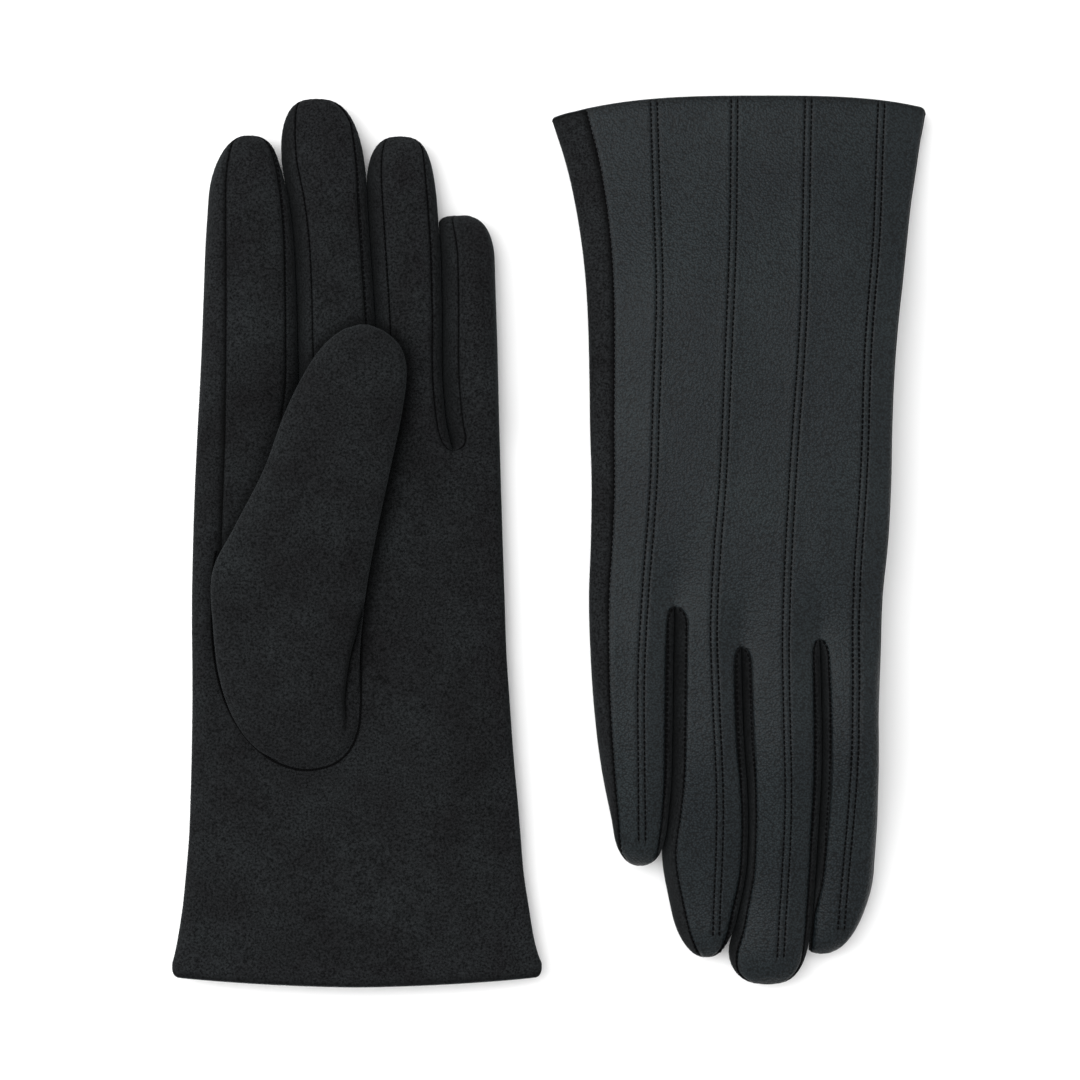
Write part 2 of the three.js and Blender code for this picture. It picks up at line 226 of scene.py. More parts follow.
def finger_section(side, f, y, face, inset=0.0):
    """Edges, seams and heights of finger f, or of its strip of the hand, at y on one face."""
    low = OUTER_LOW[side](y) if f == 0 else gap_line(side, f - 1, y)
    high = OUTER_HIGH[side](y) if f == 3 else gap_line(side, f, y)
    open_low = 1.0 if f == 0 else opening(side, f - 1, y)
    open_high = 1.0 if f == 3 else opening(side, f, y)
    low += SLIT_HALF * open_low * (f > 0) + inset
    high -= SLIT_HALF * open_high * (f < 3) + inset
    tip_x, tip_y, round_y, power_low, power_high = TIPS[side][f]
    tip_y -= inset
    t = clamp((y - round_y) / (tip_y - round_y))
    centre = mix((low + high) / 2, tip_x, t**TIP_LEAN_POWER)
    half = (high - low) / 2
    low = max(low, centre - half * max(0.0, 1 - t**power_low) ** (1 / power_low))
    high = min(high, centre + half * max(0.0, 1 - t**power_high) ** (1 / power_high))
    full = mix(HAND_HALF_HEIGHT, FINGER_HALF_HEIGHT, smooth((y - THICKENING[0]) / THICKENING[1]))
    tall = (full - inset) * max(TIP_LEAST_HEIGHT, (1 - t**TIP_HEIGHT_POWER) ** 0.5)
    seam_low, seam_high = (inset_at(v, y) for v in SEAM_IN[(side, face)][f])
    seam_low = seam_low * open_low - SEAM_HOLD * (low - (centre - half))
    seam_high = seam_high * open_high - SEAM_HOLD * ((centre + half) - high)
    limit = (high - low) * SEAM_LIMIT
    return {
        "low": low,
        "high": high,
        "tall": tall,
        "in_low": clamp(seam_low, 0.0 if open_low < 1 else limit * SEAM_LEAST, limit),
        "in_high": clamp(seam_high, 0.0 if open_high < 1 else limit * SEAM_LEAST, limit),
        "open": (open_low, open_high),
        "t": t,
    }


def edge_height(part, end):
    """Height of a seam as a share of the half height: high where it stands well in from the edge."""
    half = max((part["high"] - part["low"]) / 2, 0.01)
    inward = part["in_low"] if end == 0 else part["in_high"]
    ratio = clamp((half - inward) / half)
    curved = (1 - ratio**SEAM_CURVE) ** (1 / SEAM_CURVE)
    return max(curved, SEAM_LEAST_HEIGHT * (1 - part["t"]))


def hand_arch(side, x, y):
    """Height of the flat part of the hand above its middle plane."""
    low, high = OUTER_LOW[side](y), OUTER_HIGH[side](y)
    v = clamp((x - low) / (high - low))
    return HAND_HALF_HEIGHT * (1 - abs(2 * v - 1) ** 3.2) ** 0.55


DIP_WIDTH = 5.0              # half width of the dimple that runs up from each crotch
DIP_REACH = 30.0             # length of the dimple
DIP_DEPTH = 0.38
CROTCH_BLEND = 14.0          # length over which the flat hand turns into round fingers


def dimple(side, g, x, y):
    """Depth of the soft valley above crotch g, as a share of the hand's height."""
    crotch_y = CROTCH[side][g][0]
    away = x - gap_line(side, g, min(y, crotch_y))
    along = smooth((y - crotch_y + DIP_REACH) / DIP_REACH) ** 2
    return DIP_DEPTH * along * math.exp(-((away / DIP_WIDTH) ** 2))


def sheet_point(side, f, y, face, along):
    """Height of the palm or back sheet at an x between the finger's two seams."""
    part = finger_section(side, f, y, face)
    a, b = part["low"] + part["in_low"], part["high"] - part["in_high"]
    u = clamp((along - a) / max(b - a, 0.001))
    ends = mix(edge_height(part, 0), edge_height(part, 1), u)
    lobe = part["tall"] * (ends + (1 - ends) * (1 - abs(2 * u - 1) ** 2.3) ** 0.85)
    hand = hand_arch(side, along, y) * (1 - sum(dimple(side, g, along, y) for g in range(3)))
    crotch_low = CROTCH[side][max(f - 1, 0)][0]
    crotch_high = CROTCH[side][min(f, 2)][0]
    rounding = smooth((y - mix(crotch_low, crotch_high, smooth(u)) + 2) / CROTCH_BLEND)
    return mix(hand, lobe, rounding)


def wall_point(side, f, y, end, tau):
    """x and height of a finger's side wall: tau is 1 at the palm seam and -1 at the back seam."""
    face = "palm" if tau >= 0 else "back"
    part = finger_section(side, f, y, face)
    inward = part["in_low"] if end == 0 else part["in_high"]
    seam_x = part["low"] + inward if end == 0 else part["high"] - inward
    top = sheet_point(side, f, y, face, seam_x)
    edge = part["low"] if end == 0 else part["high"]
    outer = (f == 0 and end == 0) or (f == 3 and end == 1)
    bulge = max(0.0, 1 - tau * tau) ** 0.5 if outer else max(0.0, 1 - abs(tau) ** 1.7) ** 0.8
    lean = 0.0 if outer else SLIT_LEAN * tau * (1 - tau * tau) * part["open"][end] * (1 - part["t"])
    return mix(seam_x, edge, bulge) + lean, math.copysign(top, tau) * abs(tau) ** 0.9


# ---------------------------------------------------------------- the thumb's outline
# The thumb's two edges seen from above, at even steps from its root to its tip. Up to step 4 they run just
# inside the oval seam that sews the thumb into the palm.
THUMB_EDGES = [
    ((-16.2, 59.2), (-12.0, 59.0)),
    ((-26.1, 63.6), (-4.1, 62.7)),
    ((-32.7, 71.7), (-0.1, 69.7)),
    ((-36.6, 82.8), (0.8, 79.3)),
    ((-38.3, 96.7), (1.3, 93.8)),
    ((-38.4, 111.6), (3.4, 110.1)),
    ((-32.2, 124.2), (6.4, 125.4)),
    ((-24.5, 139.2), (9.6, 140.3)),
    ((-19.3, 153.4), (12.4, 153.6)),
    ((-13.9, 164.6), (13.8, 164.9)),
    ((-8.7, 172.3), (12.4, 171.7)),
    ((-3.6, 176.5), (8.3, 176.0)),
    ((1.0, 178.1), (3.8, 178.0)),
]
THUMB_SIDES = [
    [curve([(i, pair[k][axis]) for i, pair in enumerate(THUMB_EDGES)]) for axis in (0, 1)] for k in (0, 1)
]
THUMB_END = len(THUMB_EDGES) - 1
THUMB_REST_START = 3.6       # step from which the folded thumb only rests on the palm
# Points along the thumb's edges from that step on, around which the painted shadow lies on the palm.
THUMB_REST = np.array([
    (across(s), along(s))
    for across, along in THUMB_SIDES
    for s in np.linspace(THUMB_REST_START, THUMB_END, 90)
])
THUMB_SHADOW_DEPTH = 0.65            # how dark the painted shadow of the folded thumb is, on the palm along its edges
THUMB_SHADOW_REACH = 2.3             # how far from the thumb's edge the painted shadow reaches


def thumb_shadow(x, y):
    """How much the painted shadow of the folded thumb darkens the palm at a point beside it: 1 where there is
    none.
    """
    away = np.min(np.hypot(THUMB_REST[:, 0] - x, THUMB_REST[:, 1] - y))
    return 1 - THUMB_SHADOW_DEPTH * math.exp(-((away / THUMB_SHADOW_REACH) ** 2))


# ---------------------------------------------------------------- building one glove's skin
class Skin:
    """Welded vertices and faces of a whole glove, with the piece that each face belongs to."""

    def __init__(self, side):
        self.side = side
        self.points = []
        self.lookup = {}
        self.seam = []
        self.gap = {}
        self.faces = []
        self.owner = []

    def vertex(self, x, y, z, seam_distance):
        key = (round(x, 3), round(y, 3), round(z, 3))
        if key not in self.lookup:
            self.lookup[key] = len(self.points)
            self.points.append((x, y, z))
            self.seam.append(seam_distance)
        index = self.lookup[key]
        self.seam[index] = min(self.seam[index], seam_distance)
        return index

    def patch(self, grid, owners, flip):
        """grid is rows of vertex indices; owners names the piece for each strip between two rows."""
        for r in range(len(grid) - 1):
            for c in range(len(grid[r]) - 1):
                face = [grid[r][c], grid[r][c + 1], grid[r + 1][c + 1], grid[r + 1][c]]
                clean = [v for i, v in enumerate(face) if v != face[i - 1]]
                if len(set(clean)) < 3:
                    continue
                self.faces.append(clean[::-1] if flip else clean)
                self.owner.append(owners[r])


# The cuff's edge in plan: the x where it is lowest, its rise and power toward each end, and the radii of its
# corners.
CUFF = {
    "left": {"x": 0.0, "rise": (2.4, 2.4), "power": 1.6, "corner": (1.9, 1.9)},
    "right": {"x": -7.0, "rise": (3.0, 5.6), "power": 3.0, "corner": (1.4, 0.7)},
}
BOW_END = 60.0               # where the rows above the bowed edge run straight again
CUFF_ROLL = 0.16             # how much flatter the turned edge is than the cuff behind it
CUFF_ROLL_LENGTH = 4.5
EDGE_SHADE = 0.5             # how dark the painted shade is along the very edge of the cuff, where it rounds over
EDGE_SHADE_REACH = 0.9


def cuff_roll(y, z):
    """z, drawn toward the middle where the cuff rounds over to its edge."""
    near = clamp(1 - y / CUFF_ROLL_LENGTH)
    return MIDDLE_Z + (z - MIDDLE_Z) * (1 - CUFF_ROLL * near * near)


def bow(side, x, y):
    """How far a point is moved from the cuff by the edge's bow and by its two rounded corners."""
    shape = CUFF[side]
    end = 0 if x < shape["x"] else 1
    limit = (OUTER_LOW if end == 0 else OUTER_HIGH)[side](0)
    share = min(1.0, (x - shape["x"]) / (limit - shape["x"]))
    rise = shape["rise"][end] * share ** shape["power"] * clamp(1 - y / BOW_END)
    radius = shape["corner"][end]
    into = clamp((abs(x) - abs(limit) + radius) / radius)
    return rise + radius * (1 - math.sqrt(1 - into * into)) * clamp(1 - y / (3 * radius))


CUFF_ROWS = (0.0, 0.4, 0.9, 1.7, 2.8, 4.5)
CROTCH_STEPS = (0, 0.12, 0.4, 0.9, 1.6, 2.5, 3.5)   # rows that draw the round end of a gap
ROW_SPACE = 0.7              # no other row comes nearer to them than this


def rows_of(side, f):
    """Every row's y, from the cuff to the tip of finger f. The hand's rows are the same for all fingers."""
    rows = list(CUFF_ROWS) + list(np.linspace(6, 96, 31)) + list(np.linspace(98, FINGER_ROW, 34))
    crotch_end = CROTCH_STEPS[-1] + ROW_SPACE
    rows = [y for y in rows if all(not -ROW_SPACE < y - crotch[0] < crotch_end for crotch in CROTCH[side])]
    for crotch_y, _ in CROTCH[side]:
        rows += [crotch_y + step for step in CROTCH_STEPS]
    _, tip_y, round_y, _, _ = TIPS[side][f]
    rows += list(np.linspace(FINGER_ROW, round_y, int((round_y - FINGER_ROW) / 1.7) + 2))[1:]
    rows += [mix(round_y, tip_y, math.sin(s * math.pi / 2)) for s in np.linspace(0, 0.97, 13)][1:]
    return sorted(rows)


NEAR_SEAM = (0.0, 0.35, 0.8, 1.5)                  # columns beside a seam, and on both sides of a stitch row
NEAR_ROW = (-2.4, -1.6, -1.25, -0.88, -0.5, 0.0, 0.5, 0.88, 1.25, 1.6, 2.4)
WALL_STEPS = [math.sin(s * math.pi / 2) for s in np.linspace(1, -1, 15)]


def sheet_columns(low, high, row_x):
    """Columns of a sheet: close together at its seams and at its stitch row."""
    width = high - low
    half_row = min(NEAR_ROW[-1], width * 0.24)
    scale = half_row / NEAR_ROW[-1]
    centre = clamp(row_x, low + half_row + width * 0.16, high - half_row - width * 0.16)
    edge = [d * min(1, width / 10) for d in NEAR_SEAM]
    left = [low + d for d in edge] + list(np.linspace(low + edge[-1], centre - half_row, 5))[1:-1]
    right = list(np.linspace(centre + half_row, high - edge[-1], 5))[1:-1] + [high - d for d in edge][::-1]
    return left + [centre + d * scale for d in NEAR_ROW] + right


EDGE_STEP = 8                # wall column that holds the outer seam of leather and suede


def wall_strips(f, end):
    """The pieces that a side wall belongs to, as (piece, first column, last column)."""
    last = len(WALL_STEPS) - 1
    if f == 0 and end == 0:
        return [("palm", 0, EDGE_STEP), ("back", EDGE_STEP, last)]
    if f == 3 and end == 1:
        return [("palm", 0, last)]
    return [("fourchette_a" if end == 0 else "fourchette_b", 0, last)]


def piece_name(side, f, part, y):
    if part.startswith("fourchette"):
        return f"{side}_{FINGERS[f]}_{part}"
    if y < FINGER_ROW - 0.01:
        return f"{side}_{part}_panel"
    return f"{side}_{FINGERS[f]}_{part}"


WRINKLE_DEPTH = {"left": 0.75, "right": 1.1}
FINE_WRINKLE_DEPTH = 0.22
WRINKLE_SHIFT = {"left": 0, "right": 40}     # the two gloves don't fold alike


def wrinkle(x, y, z, side):
    """Slow undulation of soft leather, in millimetres: broad folds with finer ones on them."""
    shift = WRINKLE_SHIFT[side]
    broad = noise.noise(Vector((x / 34 + shift, y / 46, z / 30)))
    fine = noise.noise(Vector((x / 11 + shift, y / 17 + 7, z / 12)))
    return WRINKLE_DEPTH[side] * broad + FINE_WRINKLE_DEPTH * fine


def never(side):
    return GLOVE_LENGTH * 2


def from_crotch(g):
    return lambda side: CROTCH[side][g][0]


# Where each finger's (low, high) seam begins. The index's low palm seam starts at the thumb, and the
# little finger's high back seam runs all the way from the cuff.
INDEX_SEAM_START = 117.0
SEAM_START = {
    "palm": [
        (lambda side: INDEX_SEAM_START, from_crotch(0)),
        (from_crotch(0), from_crotch(1)),
        (from_crotch(1), from_crotch(2)),
        (from_crotch(2), never),
    ],
    "back": [
        (never, from_crotch(0)),
        (from_crotch(0), from_crotch(1)),
        (from_crotch(1), from_crotch(2)),
        (from_crotch(2), lambda side: 0.0),
    ],
}


ROW_NEAR = 0.21              # a stitch row sinks a little less than a seam
TIP_NEAR = 0.45              # all the seams run together at a fingertip, which sinks evenly
NO_SEAM = 9.0                # distance given to points that are on no seam


def build_skin(side):
    skin = Skin(side)
    for f in range(4):
        rows = rows_of(side, f)
        tip_y = TIPS[side][f][1]
        last = finger_section(side, f, rows[-1], "palm")
        count = len(sheet_columns(0, 1, 0))
        across = np.linspace(last["low"] + last["in_low"], last["high"] - last["in_high"], count)
        tip = [skin.vertex(x, tip_y, MIDDLE_Z, TIP_NEAR) for x in across]
        for face, sign in (("palm", 1), ("back", -1)):
            grid = []
            for y in rows:
                part = finger_section(side, f, y, face)
                low, high = part["low"] + part["in_low"], part["high"] - part["in_high"]
                line = []
                for x in sheet_columns(low, high, POINT_ROWS[f](y)):
                    z = MIDDLE_Z + sign * sheet_point(side, f, y, face, x)
                    near = NO_SEAM
                    if y >= SEAM_START[face][f][0](side):
                        near = min(near, x - low)
                    if y >= SEAM_START[face][f][1](side):
                        near = min(near, high - x)
                    if face == "back" and y < POINT_ENDS[f]:
                        offset = abs(x - POINT_ROWS[f](y))
                        near = min(near, ROW_NEAR + abs(offset - ROW_HALF))
                    line.append(skin.vertex(x, y, z, mix(near, TIP_NEAR, part["t"] ** 20)))
                grid.append(line)
            owners = [piece_name(side, f, face, (a + b) / 2) for a, b in zip(rows, rows[1:])]
            grid.append(tip)
            owners.append(owners[-1])
            skin.patch(grid, owners, flip=sign < 0)
        for end in (0, 1):
            outer = (f == 0 and end == 0) or (f == 3 and end == 1)
            start = 0.0 if outer else CROTCH[side][f - 1 if end == 0 else f][0]
            wall_rows = [y for y in rows if y >= start - 1e-6]
            grid = []
            for y in wall_rows:
                line = []
                for column, tau in enumerate(WALL_STEPS):
                    x, height = wall_point(side, f, y, end, tau)
                    on_seam = f == 0 and end == 0 and column == EDGE_STEP
                    vertex = skin.vertex(x, y, MIDDLE_Z + height, 0 if on_seam else NO_SEAM)
                    if not outer:
                        deep = math.exp(-((tau / GAP_SHADE_REACH) ** 2))
                        skin.gap[vertex] = 1 - GAP_SHADE * deep * opening(side, f - 1 if end == 0 else f, y)
                    line.append(vertex)
                grid.append(line)
            grid.append([tip[0 if end == 0 else -1]] * len(grid[0]))
            for part, first, last in wall_strips(f, end):
                owners = [piece_name(side, f, part, (a + b) / 2) for a, b in zip(wall_rows, wall_rows[1:])]
                strip = [line[first:last + 1] for line in grid]
                skin.patch(strip, owners + owners[-1:], flip=end == 0)
    return skin


# ---------------------------------------------------------------- placing
def place(side, x, y, z):
    """A point of a glove's own frame, in the pair's frame and in metres."""
    if side == "left":
        return Vector((x - GLOVE_OFFSET, y - GLOVE_LENGTH / 2, z)) * MM
    lifted = z + drape(side, y)
    top = 2 * MIDDLE_Z + DRAPE_DROP
    return Vector((GLOVE_OFFSET - x, GLOVE_LENGTH / 2 - y, top - lifted)) * MM


def above_floor(side, y, z):
    """z, kept clear of the surface that the pair lies on."""
    if side == "left":
        return max(z, FLOOR_CLEAR)
    return min(z, 2 * MIDDLE_Z + DRAPE_DROP - FLOOR_CLEAR - drape(side, y))


def make_object(name, points, faces, material, normals=None):
    mesh = bpy.data.meshes.new(name)
    mesh.from_pydata(points, [], faces)
    mesh.materials.append(material)
    mesh.polygons.foreach_set("use_smooth", [True] * len(faces))
    mesh.update()
    if normals is not None:
        mesh.normals_split_custom_set_from_vertices(normals)
    obj = bpy.data.objects.new(name, mesh)
    bpy.context.collection.objects.link(obj)
    return obj


def set_shade(obj, values):
    """Stores how open to the light each vertex is, for the materials."""
    shade = obj.data.attributes.new("shade", "FLOAT", "POINT")
    shade.data.foreach_set("value", values)


def vertex_normals(points, faces):
    """Area-weighted normals of a welded mesh, so that pieces cut from it shade as one skin."""
    points = np.array(points)
    normals = np.zeros_like(points)
    for face in faces:
        corners = points[face]
        cross = np.cross(corners[1] - corners[0], corners[2] - corners[0])
        if len(face) == 4:
            cross += np.cross(corners[2] - corners[0], corners[3] - corners[0])
        normals[face] += cross
    length = np.linalg.norm(normals, axis=1)
    length[length == 0] = 1
    return normals / length[:, None]


SEAM_SHADE = 0.9             # how dark the crease of a seam is, where no light reaches
SEAM_SHADE_REACH = 0.32
GAP_SHADE = 0.74             # the same, deep between two fingers
GAP_SHADE_REACH = 0.75
SEAM_DEPTH, SEAM_HALF = 0.45, 0.38                 # depth and half width of the groove along a seam
RIM_HEIGHT, RIM_AT, RIM_HALF = 0.2, 1.15, 0.5      # the leather swells a little beside a seam
EDGE_FADE = 12.0             # the wrinkles come in over this length from the cuff


def finish_skin(skin):
    """Bows the cuff, sinks the seams and stitch rows, adds the leather's undulation and places the skin."""
    side = skin.side
    rough = np.array(skin.points)
    normals = vertex_normals(rough, skin.faces)
    placed = []
    for (x, y, z), n, near in zip(skin.points, normals, skin.seam):
        groove = -SEAM_DEPTH * math.exp(-((near / SEAM_HALF) ** 2))
        rim = RIM_HEIGHT * math.exp(-(((near - RIM_AT) / RIM_HALF) ** 2))
        edge_fade = smooth(y / EDGE_FADE)
        move = groove + rim + wrinkle(x, y, z, side) * edge_fade * smooth((abs(z - MIDDLE_Z) - 0.5) / 3)
        row_y = y
        x, y, z = x + n[0] * move, y + n[1] * move, z + n[2] * move
        y += bow(side, x, y)
        placed.append(place(side, x, y, above_floor(side, y, cuff_roll(row_y, z))))
    if side == "right":
        skin.faces = [face[::-1] for face in skin.faces]
    skin.placed = placed
    # Painted shade: darker in seams and stitch rows, at the cuff's very edge, deep between fingers and beside
    # the folded thumb.
    skin.shade = [
        (1 - SEAM_SHADE * math.exp(-((near / SEAM_SHADE_REACH) ** 2)))
        * (1 - EDGE_SHADE * math.exp(-((point[1] / EDGE_SHADE_REACH) ** 2)))
        * skin.gap.get(i, 1.0)
        # painted shadow of the folded thumb, on the palm's face only
        * (thumb_shadow(point[0], point[1]) if point[2] > MIDDLE_Z else 1.0)
        for i, (point, near) in enumerate(zip(skin.points, skin.seam))
    ]
    skin.normals = vertex_normals(np.array(placed), skin.faces)
    return skin


def cut_piece(skin, name, material):
    """The faces of one piece, with the whole skin's normals."""
    faces = [face for face, owner in zip(skin.faces, skin.owner) if owner == name]
    used = sorted({v for face in faces for v in face})
    index = {v: i for i, v in enumerate(used)}
    obj = make_object(
        name,
        [skin.placed[v] for v in used],
        [[index[v] for v in face] for face in faces],
        material,
        [skin.normals[v] for v in used],
    )
    set_shade(obj, [skin.shade[v] for v in used])
    return obj


# ---------------------------------------------------------------- materials
def linear(hex_colour):
    """sRGB hex to linear RGBA."""
    parts = [int(hex_colour[i:i + 2], 16) / 255 for i in (1, 3, 5)]
    return tuple(c / 12.92 if c <= 0.04045 else ((c + 0.055) / 1.055) ** 2.4 for c in parts) + (1.0,)


def add_node(tree, kind, settings=None, links=None):
    """One node, with its attributes, inputs and colour stops set. An input goes by its name or number."""
    node = tree.nodes.new(kind)
    for key, value in (settings or {}).items():
        if key == "stops":
            for element, (position, colour) in zip(node.color_ramp.elements, value):
                element.position = position
                element.color = colour
        elif isinstance(key, int) or key in node.inputs:
            node.inputs[key].default_value = value
        else:
            setattr(node, key, value)
    for key, socket in (links or {}).items():
        tree.links.new(socket, node.inputs[key])
    return node


def new_material(name):
    material = bpy.data.materials.new(name)
    material.use_nodes = True
    tree = material.node_tree
    return material, tree, tree.nodes["Principled BSDF"]


# A mix node's inputs 0, 6 and 7 are its share and its two colours, and its output 2 is the mixed colour.
MULTIPLY = {"data_type": "RGBA", "blend_type": "MULTIPLY", 0: 1.0}


def grey(value):
    return (value, value, value, 1)


def shaded(tree, colour, pattern):
    """A dyed colour varied by the surface's pattern, and darkened by the mesh's shade in seams and folds."""
    varied = add_node(tree, "ShaderNodeMix", MULTIPLY,
                      {6: colour.outputs["Color"], 7: pattern.outputs["Color"]})
    shade = add_node(tree, "ShaderNodeAttribute", {"attribute_name": "shade"})
    dark = add_node(tree, "ShaderNodeMix", MULTIPLY, {6: varied.outputs[2], 7: shade.outputs["Fac"]})
    return dark.outputs[2]


def nappa_leather():
    """Nappa leather, drum-dyed black and lightly finished: fine pebbled grain and a soft, broad sheen."""
    material, tree, shader = new_material("nappa_leather_black")
    spot = add_node(tree, "ShaderNodeTexCoord").outputs["Object"]
    grain_mm = 0.55
    grain = add_node(tree, "ShaderNodeTexVoronoi", {"Scale": 1 / (grain_mm * MM), "feature": "SMOOTH_F1",
                     "Smoothness": 0.5}, {"Vector": spot})
    broad = add_node(tree, "ShaderNodeTexNoise", {"Scale": 1 / (24 * MM), "Detail": 3.0}, {"Vector": spot})
    pores = add_node(tree, "ShaderNodeTexNoise", {"Scale": 1 / (0.85 * MM), "Detail": 4.0, "Roughness": 0.65},
                     {"Vector": spot})
    colour = add_node(tree, "ShaderNodeValToRGB",
                      {"stops": [(0.3, linear("#12171a")), (0.72, linear("#181e20"))]},
                      {"Fac": broad.outputs["Fac"]})
    speckle = add_node(tree, "ShaderNodeValToRGB", {"stops": [(0.1, grey(1.65)), (0.7, grey(0.4))]},
                       {"Fac": grain.outputs["Distance"]})
    rough = add_node(tree, "ShaderNodeMapRange",
                     {"From Min": 0.25, "From Max": 0.75, "To Min": 0.36, "To Max": 0.52},
                     {"Value": pores.outputs["Fac"]})
    cells = add_node(tree, "ShaderNodeBump", {"Strength": 1.0, "Distance": 0.15 * MM, "invert": True},
                     {"Height": grain.outputs["Distance"]})
    folds = add_node(tree, "ShaderNodeBump", {"Strength": 1.0, "Distance": 0.13 * MM},
                     {"Height": pores.outputs["Fac"], "Normal": cells.outputs["Normal"]})
    tree.links.new(shaded(tree, colour, speckle), shader.inputs["Base Color"])
    tree.links.new(rough.outputs["Result"], shader.inputs["Roughness"])
    tree.links.new(folds.outputs["Normal"], shader.inputs["Normal"])
    shader.inputs["Specular IOR Level"].default_value = 0.14
    return material


def microfibre_suede():
    """Buffed microfibre suede: a short matt nap that catches light at its edges and shows brushed patches."""
    material, tree, shader = new_material("microfibre_suede_black")
    spot = add_node(tree, "ShaderNodeTexCoord").outputs["Object"]
    patches = add_node(tree, "ShaderNodeTexNoise", {"Scale": 1 / (16 * MM), "Detail": 4.0, "Roughness": 0.6},
                       {"Vector": spot})
    nap = add_node(tree, "ShaderNodeTexNoise", {"Scale": 1 / (0.6 * MM), "Detail": 4.0, "Roughness": 0.7},
                   {"Vector": spot})
    colour = add_node(tree, "ShaderNodeValToRGB",
                      {"stops": [(0.3, linear("#111112")), (0.72, linear("#191b1c"))]},
                      {"Fac": patches.outputs["Fac"]})
    fibre = add_node(tree, "ShaderNodeValToRGB", {"stops": [(0.37, grey(0.22)), (0.63, grey(1.8))]},
                     {"Fac": nap.outputs["Fac"]})
    bump = add_node(tree, "ShaderNodeBump", {"Strength": 0.8, "Distance": 0.2 * MM},
                    {"Height": nap.outputs["Fac"]})
    tree.links.new(shaded(tree, colour, fibre), shader.inputs["Base Color"])
    tree.links.new(bump.outputs["Normal"], shader.inputs["Normal"])
    shader.inputs["Roughness"].default_value = 0.95
    shader.inputs["Specular IOR Level"].default_value = 0.06
    shader.inputs["Sheen Weight"].default_value = 0.035
    shader.inputs["Sheen Roughness"].default_value = 0.5
    shader.inputs["Sheen Tint"].default_value = (0.8, 0.9, 0.95, 1)
    return material


def brushed_lining():
    """Brushed knit lining: fine ribs under a soft raised face."""
    material, tree, shader = new_material("brushed_knit_lining")
    spot = add_node(tree, "ShaderNodeTexCoord").outputs["Object"]
    rib_mm = 1.2
    rib = add_node(tree, "ShaderNodeTexWave",
                   {"Scale": 0.314 / (rib_mm * MM), "Distortion": 1.5, "Detail": 2.0},
                   {"Vector": spot})
    colour = add_node(tree, "ShaderNodeValToRGB",
                      {"stops": [(0.1, linear("#141516")), (0.9, linear("#232526"))]},
                      {"Fac": rib.outputs["Fac"]})
    bump = add_node(tree, "ShaderNodeBump", {"Strength": 0.5, "Distance": 0.3 * MM},
                    {"Height": rib.outputs["Fac"]})
    tree.links.new(colour.outputs["Color"], shader.inputs["Base Color"])
    tree.links.new(bump.outputs["Normal"], shader.inputs["Normal"])
    shader.inputs["Roughness"].default_value = 1.0
    shader.inputs["Sheen Weight"].default_value = 0.2
    return material


def polyester_thread():
    """Twisted polyester sewing thread, dyed black: nearly matt, with a small round glint."""
    material, tree, shader = new_material("polyester_thread_black")
    spot = add_node(tree, "ShaderNodeTexCoord").outputs["Object"]
    twist = add_node(tree, "ShaderNodeTexNoise", {"Scale": 1 / (0.4 * MM)}, {"Vector": spot})
    colour = add_node(tree, "ShaderNodeValToRGB",
                      {"stops": [(0.3, linear("#010101")), (0.7, linear("#040405"))]},
                      {"Fac": twist.outputs["Fac"]})
    tree.links.new(colour.outputs["Color"], shader.inputs["Base Color"])
    shader.inputs["Roughness"].default_value = 0.8
    shader.inputs["Specular IOR Level"].default_value = 0.05
    return material


LEATHER = nappa_leather()
SUEDE = microfibre_suede()
LINING = brushed_lining()
THREAD = polyester_thread()
PART_MATERIAL = {"back": LEATHER, "palm": SUEDE, "fourchette_a": SUEDE, "fourchette_b": SUEDE}


# ---------------------------------------------------------------- bodies and joints
JOINT = {joint["name"]: joint for joint in frame["joints"]}


def ride_hand(obj, side):
    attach(obj, f"{side}_hand")


def bend_finger(obj):
    """Bakes the piece's placement into its mesh."""
    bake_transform(obj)


def bend_thumb(obj):
    """Bakes the thumb piece's placement into its mesh."""
    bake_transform(obj)


# ---------------------------------------------------------------- skins
FORKS = ("index_middle", "middle_ring", "ring_little")


def make_skin_pieces(side, skin):
    for name, node in ((f"{side}_palm_panel", "palm"), (f"{side}_back_panel", "back")):
        obj = cut_piece(skin, name, PART_MATERIAL[node])
        obj.name = f"{name}_skin"
        ride_hand(obj, side)
        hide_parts(name)
    for f, finger in enumerate(FINGERS):
        for part in ("back", "palm", "fourchette_a", "fourchette_b"):
            name = f"{side}_{finger}_{part}"
            if name not in skin.owner:
                continue
            obj = cut_piece(skin, name, PART_MATERIAL[part])
            obj.name = f"{name}_skin"
            bend_finger(obj)
            if part == "fourchette_b":
                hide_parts(name, f"{side}_fourchette_{FORKS[f]}")
            else:
                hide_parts(name)


SKINS = {}
for glove in SIDES:
    SKINS[glove] = finish_skin(build_skin(glove))
    make_skin_pieces(glove, SKINS[glove])


# ---------------------------------------------------------------- hems and linings
LOOP_POINTS = 9              # of an outline, on each face of a finger and on each of its sides


